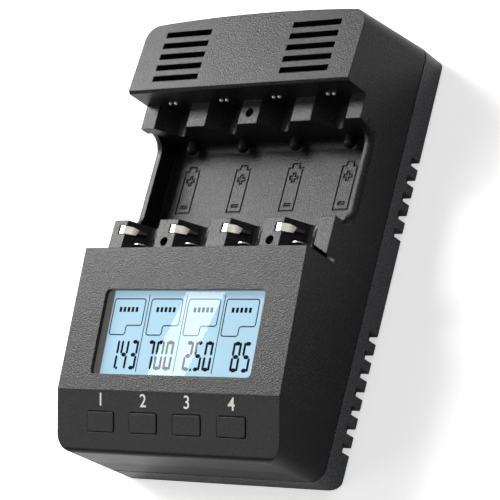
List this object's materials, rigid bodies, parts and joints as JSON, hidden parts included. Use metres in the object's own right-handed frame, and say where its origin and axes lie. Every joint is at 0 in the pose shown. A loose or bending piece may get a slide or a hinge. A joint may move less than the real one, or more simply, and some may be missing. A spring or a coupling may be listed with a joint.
{
  "type": "battery charger",
  "caption": "Desktop battery charger for AA and AAA cells with open bays, a lit display, push buttons and side cooling notches, lying on its back.",
  "frame": {"origin": "middle of the flat back, on the surface that the charger lies on", "axes": "+X across the bays to the right, +Y along the cells to the vent end, +Z out of the back to the display side"},
  "size_m": [0.085, 0.1399, 0.0419],
  "materials": {
    "front_plastic": "fine spark-eroded grain",
    "rear_plastic": "fine spark-eroded grain",
    "button_plastic": "fine grain",
    "clear_window": "clear, polished",
    "display_panel": "pale blue, lit from behind",
    "white_plastic": "smooth",
    "black_plastic": "smooth",
    "board": "green solder mask",
    "screw_steel": "zinc plated",
    "contact_spring": "nickel plated",
    "contact_strip": "nickel plated, satin",
    "pin_brass": "smooth",
    "capacitor_sleeve": "heat-shrunk sleeve"
  },
  "bodies": {
    "case": {"front_shell": "front_plastic", "rear_shell": "rear_plastic", "display_window": "clear_window", "display_glass": "display_panel", "display_backlight": "white_plastic", "display_board": "board", "display_screws": "screw_steel", "main_board": "board", "main_board_screws": "screw_steel", "case_screws": "screw_steel", "push_switches": "black_plastic", "positive_contact_1": "contact_spring", "positive_contact_2": "contact_spring", "positive_contact_3": "contact_spring", "positive_contact_4": "contact_spring", "power_socket": "black_plastic", "power_socket_pin": "pin_brass", "capacitors": "capacitor_sleeve", "coils": "black_plastic", "power_transistors": "black_plastic", "controller_chip": "black_plastic", "link_header": "black_plastic"},
    "button_1": {"button_1": "button_plastic"},
    "button_2": {"button_2": "button_plastic"},
    "button_3": {"button_3": "button_plastic"},
    "button_4": {"button_4": "button_plastic"},
    "long_cell_contact_1": {"long_cell_contact_1": "contact_spring"},
    "long_cell_contact_2": {"long_cell_contact_2": "contact_spring"},
    "long_cell_contact_3": {"long_cell_contact_3": "contact_spring"},
    "long_cell_contact_4": {"long_cell_contact_4": "contact_spring"},
    "short_cell_contact_1": {"short_cell_contact_1": "contact_strip"},
    "short_cell_contact_2": {"short_cell_contact_2": "contact_strip"},
    "short_cell_contact_3": {"short_cell_contact_3": "contact_strip"},
    "short_cell_contact_4": {"short_cell_contact_4": "contact_strip"}
  },
  "joints": [
    {"name": "button_1_press", "type": "slide", "parent": "case", "child": "button_1", "axis": [0, 0.3697, -0.9291], "range_m": [0, 0.0005], "stiffness_N_per_m": 2000},
    {"name": "button_2_press", "type": "slide", "parent": "case", "child": "button_2", "axis": [0, 0.3697, -0.9291], "range_m": [0, 0.0005], "stiffness_N_per_m": 2000},
    {"name": "button_3_press", "type": "slide", "parent": "case", "child": "button_3", "axis": [0, 0.3697, -0.9291], "range_m": [0, 0.0005], "stiffness_N_per_m": 2000},
    {"name": "button_4_press", "type": "slide", "parent": "case", "child": "button_4", "axis": [0, 0.3697, -0.9291], "range_m": [0, 0.0005], "stiffness_N_per_m": 2000},
    {"name": "long_cell_contact_1_give", "type": "slide", "parent": "case", "child": "long_cell_contact_1", "axis": [0, -1, 0], "range_m": [0, 0.003], "stiffness_N_per_m": 800},
    {"name": "long_cell_contact_2_give", "type": "slide", "parent": "case", "child": "long_cell_contact_2", "axis": [0, -1, 0], "range_m": [0, 0.003], "stiffness_N_per_m": 800},
    {"name": "long_cell_contact_3_give", "type": "slide", "parent": "case", "child": "long_cell_contact_3", "axis": [0, -1, 0], "range_m": [0, 0.003], "stiffness_N_per_m": 800},
    {"name": "long_cell_contact_4_give", "type": "slide", "parent": "case", "child": "long_cell_contact_4", "axis": [0, -1, 0], "range_m": [0, 0.003], "stiffness_N_per_m": 800},
    {"name": "short_cell_contact_1_give", "type": "slide", "parent": "case", "child": "short_cell_contact_1", "axis": [0, 0, -1], "range_m": [0, 0.0008], "stiffness_N_per_m": 1500},
    {"name": "short_cell_contact_2_give", "type": "slide", "parent": "case", "child": "short_cell_contact_2", "axis": [0, 0, -1], "range_m": [0, 0.0008], "stiffness_N_per_m": 1500},
    {"name": "short_cell_contact_3_give", "type": "slide", "parent": "case", "child": "short_cell_contact_3", "axis": [0, 0, -1], "range_m": [0, 0.0008], "stiffness_N_per_m": 1500},
    {"name": "short_cell_contact_4_give", "type": "slide", "parent": "case", "child": "short_cell_contact_4", "axis": [0, 0, -1], "range_m": [0, 0.0008], "stiffness_N_per_m": 1500}
  ]
}
